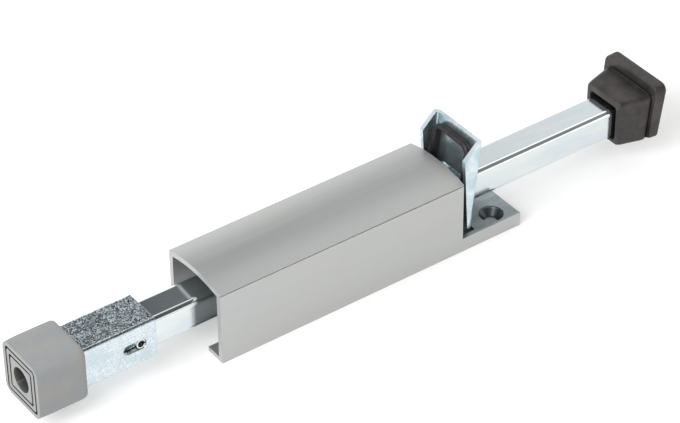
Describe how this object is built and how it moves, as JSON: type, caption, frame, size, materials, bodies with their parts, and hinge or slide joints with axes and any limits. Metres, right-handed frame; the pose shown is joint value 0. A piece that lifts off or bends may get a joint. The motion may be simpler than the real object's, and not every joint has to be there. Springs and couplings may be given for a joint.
{
  "type": "door holder",
  "caption": "Foot operated door holder: square sprung plunger with a rubber foot and a step cap in a slotted housing, held down by a leaning release lever.",
  "frame": {"origin": "on the mounting face, midway between the two door screws", "axes": "+X along the plunger, from the rubber foot to the step cap; +Y across the housing; +Z away from the door"},
  "size_m": [0.3117, 0.036, 0.0494],
  "materials": {
    "aluminium": "satin anodised extrusion",
    "plate_zinc": "dull zinc plated steel",
    "zinc": "bright zinc plated steel",
    "galvanised": "galvanised steel with a fine spangle",
    "spring_steel": "drawn spring wire",
    "black_wire": "blackened spring wire",
    "nylon": "dark moulded nylon",
    "black_rubber": "matt charcoal rubber",
    "grey_rubber": "matt grey rubber"
  },
  "bodies": {
    "housing": {"housing": "aluminium", "base_plate": "plate_zinc", "plate_screws": "zinc", "lower_guide": "nylon", "guide_screws": "zinc", "upper_guide": "nylon", "return_spring": "spring_steel", "lever_spring": "black_wire"},
    "plunger": {"plunger_tube": "zinc", "spring_collar": "plate_zinc", "collar_pin": "zinc", "bumper_ring": "black_rubber", "cap_plug": "nylon", "step_cap": "black_rubber", "spring_seat": "nylon", "cross_pin": "zinc", "buffer_spring": "spring_steel"},
    "foot": {"foot_sleeve": "galvanised", "foot_pad": "grey_rubber", "pad_washer": "zinc", "pad_screw": "zinc", "pad_nut": "zinc"},
    "lever": {"lever": "zinc"}
  },
  "joints": [
    {"name": "plunger_slide", "type": "slide", "parent": "housing", "child": "plunger", "axis": [1, 0, 0], "range_m": [-0.06, 0], "stiffness_N_per_m": 320, "springref_m": 0.039, "deforming": ["return_spring"]},
    {"name": "foot_slide", "type": "slide", "parent": "plunger", "child": "foot", "axis": [1, 0, 0], "range_m": [0, 0.006], "stiffness_N_per_m": 1500, "springref_m": -0.004, "deforming": ["buffer_spring"]},
    {"name": "lever_pivot", "type": "hinge", "parent": "housing", "child": "lever", "pos_m": [-0.01541, 0, 0.0043], "axis": [0, 1, 0], "range_deg": [-4.5, 0], "stiffness_Nm_per_rad": 0.5, "springref_deg": 11.46, "deforming": ["lever_spring"]}
  ]
}
